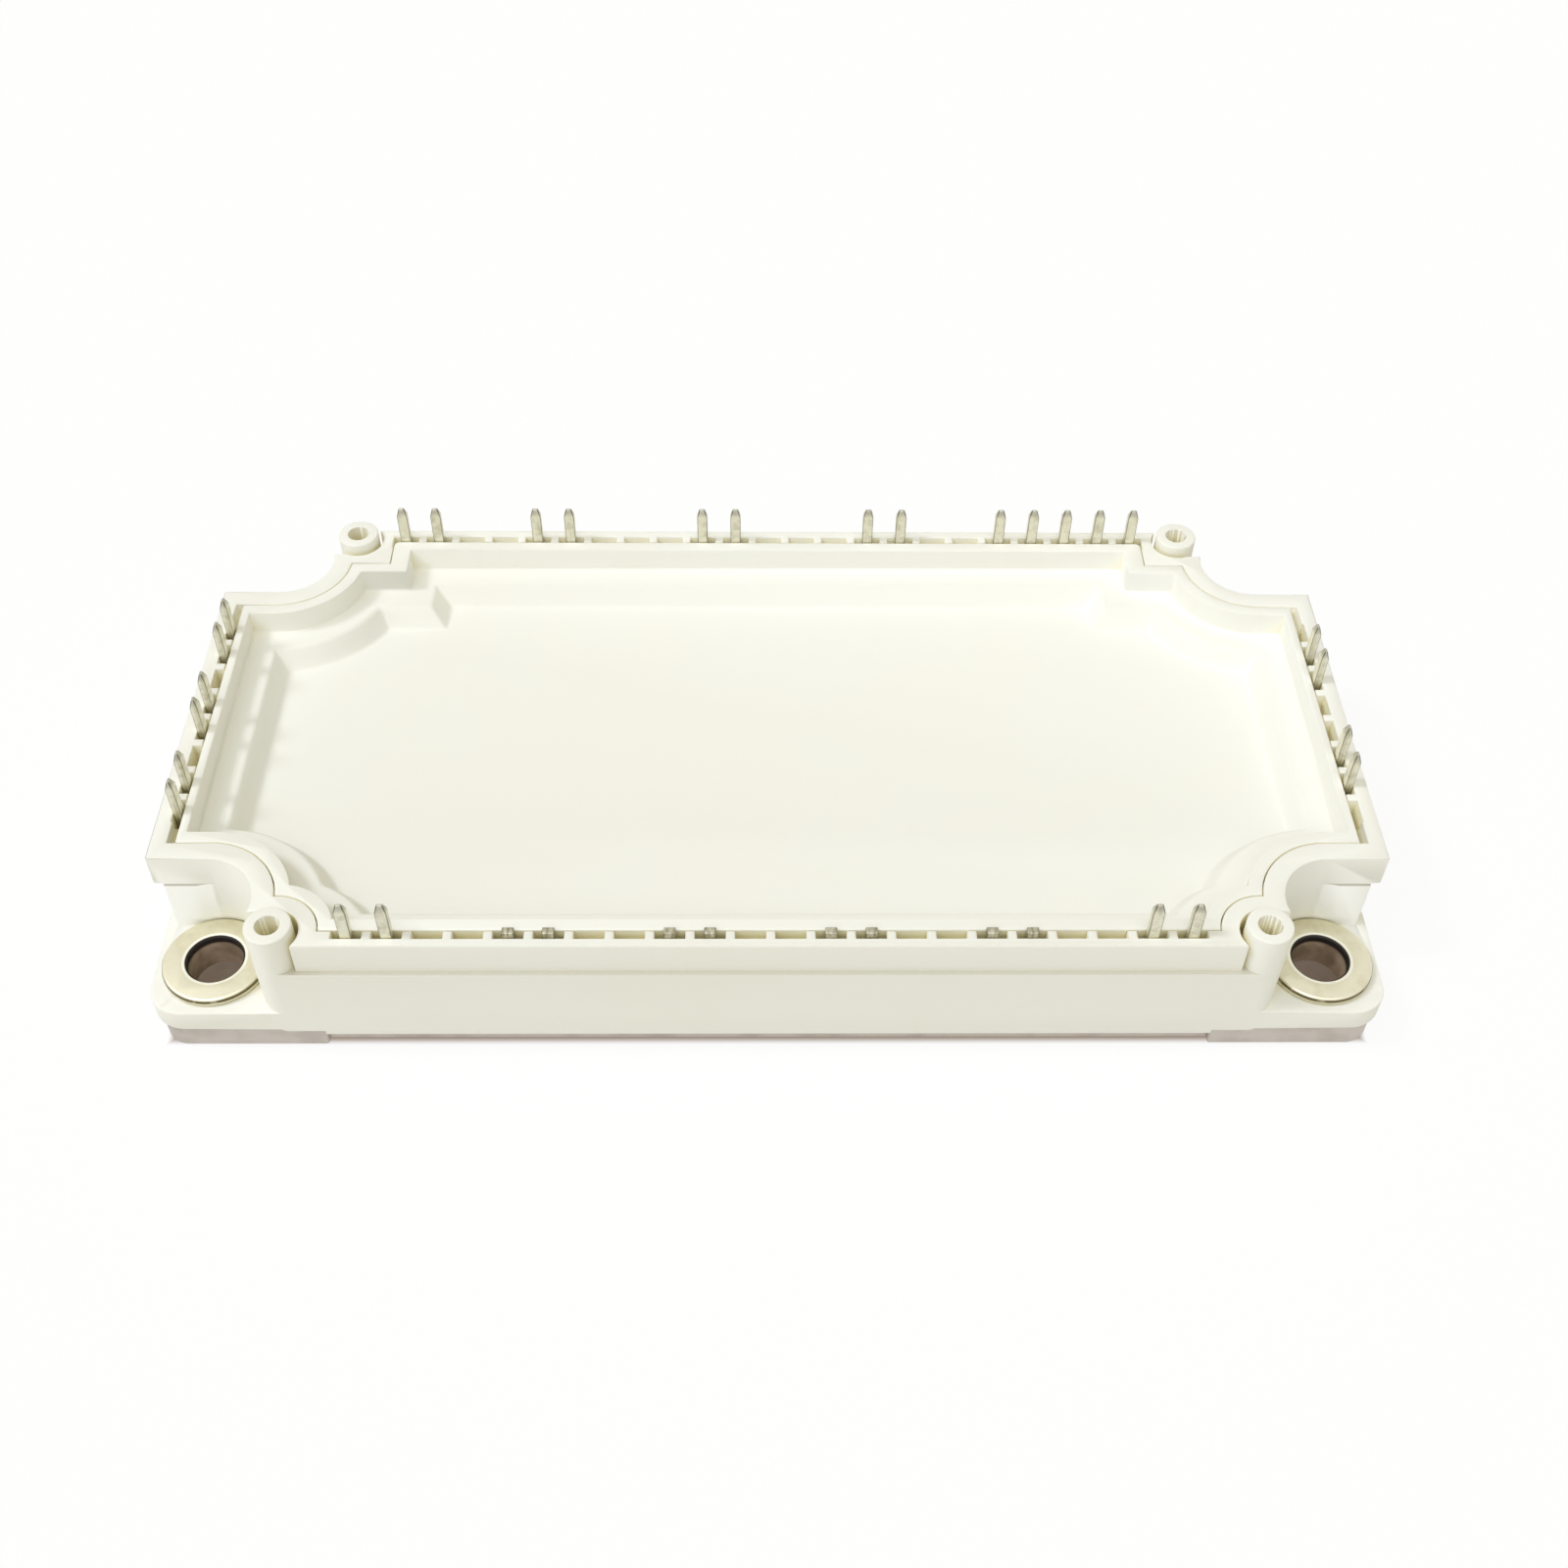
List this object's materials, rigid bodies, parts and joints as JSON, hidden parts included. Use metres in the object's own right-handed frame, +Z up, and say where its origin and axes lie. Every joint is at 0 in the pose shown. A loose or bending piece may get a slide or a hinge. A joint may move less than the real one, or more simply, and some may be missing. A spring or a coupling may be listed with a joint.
{
  "type": "power semiconductor module",
  "caption": "Flat rectangular power semiconductor module: a metal base plate, a cream moulded housing with corner ears, a recessed lid, and solder pins along all sides.",
  "frame": {"origin": "centre of the base plate's underside, which is the face that lies on a heat sink", "axes": "+X along the long side to the right, +Y across to the back, +Z up to the pin tips"},
  "size_m": [0.122, 0.062, 0.0204],
  "materials": {
    "housing_plastic": "matt ivory moulding",
    "lid_plastic": "matt ivory moulding",
    "plate_metal": "dull nickel over copper",
    "bush_metal": "pale plated, turned",
    "pin_metal": "tinned",
    "copper": "bare copper",
    "solder": "reflowed",
    "ceramic": "fired ceramic",
    "silicon": "metallised silicon",
    "sensor_body": "glass coated",
    "wire_metal": "drawn aluminium",
    "gel": "clear soft gel"
  },
  "bodies": {
    "root": {"base_plate": "plate_metal", "housing": "housing_plastic", "lid": "lid_plastic", "bush_front_left": "bush_metal", "bush_front_right": "bush_metal", "bush_back_left": "bush_metal", "bush_back_right": "bush_metal", "pin_front_1": "pin_metal", "pin_front_2": "pin_metal", "pin_front_3": "pin_metal", "pin_front_4": "pin_metal", "pin_front_5": "pin_metal", "pin_front_6": "pin_metal", "pin_front_7": "pin_metal", "pin_front_8": "pin_metal", "pin_front_9": "pin_metal", "pin_front_10": "pin_metal", "pin_front_11": "pin_metal", "pin_front_12": "pin_metal", "pin_back_1": "pin_metal", "pin_back_2": "pin_metal", "pin_back_3": "pin_metal", "pin_back_4": "pin_metal", "pin_back_5": "pin_metal", "pin_back_6": "pin_metal", "pin_back_7": "pin_metal", "pin_back_8": "pin_metal", "pin_back_9": "pin_metal", "pin_back_10": "pin_metal", "pin_back_11": "pin_metal", "pin_back_12": "pin_metal", "pin_back_13": "pin_metal", "pin_left_1": "pin_metal", "pin_left_2": "pin_metal", "pin_left_3": "pin_metal", "pin_left_4": "pin_metal", "pin_left_5": "pin_metal", "pin_left_6": "pin_metal", "pin_right_1": "pin_metal", "pin_right_2": "pin_metal", "pin_right_3": "pin_metal", "pin_right_4": "pin_metal", "solder_layers": "solder", "copper_backs": "copper", "ceramic_left": "ceramic", "ceramic_middle": "ceramic", "ceramic_right": "ceramic", "copper_tracks_left": "copper", "copper_tracks_middle": "copper", "copper_tracks_right": "copper", "transistor_chips": "silicon", "diode_chips": "silicon", "rectifier_chips": "silicon", "temperature_sensor": "sensor_body", "bond_wires": "wire_metal", "silicone_gel": "gel"}
  },
  "joints": []
}
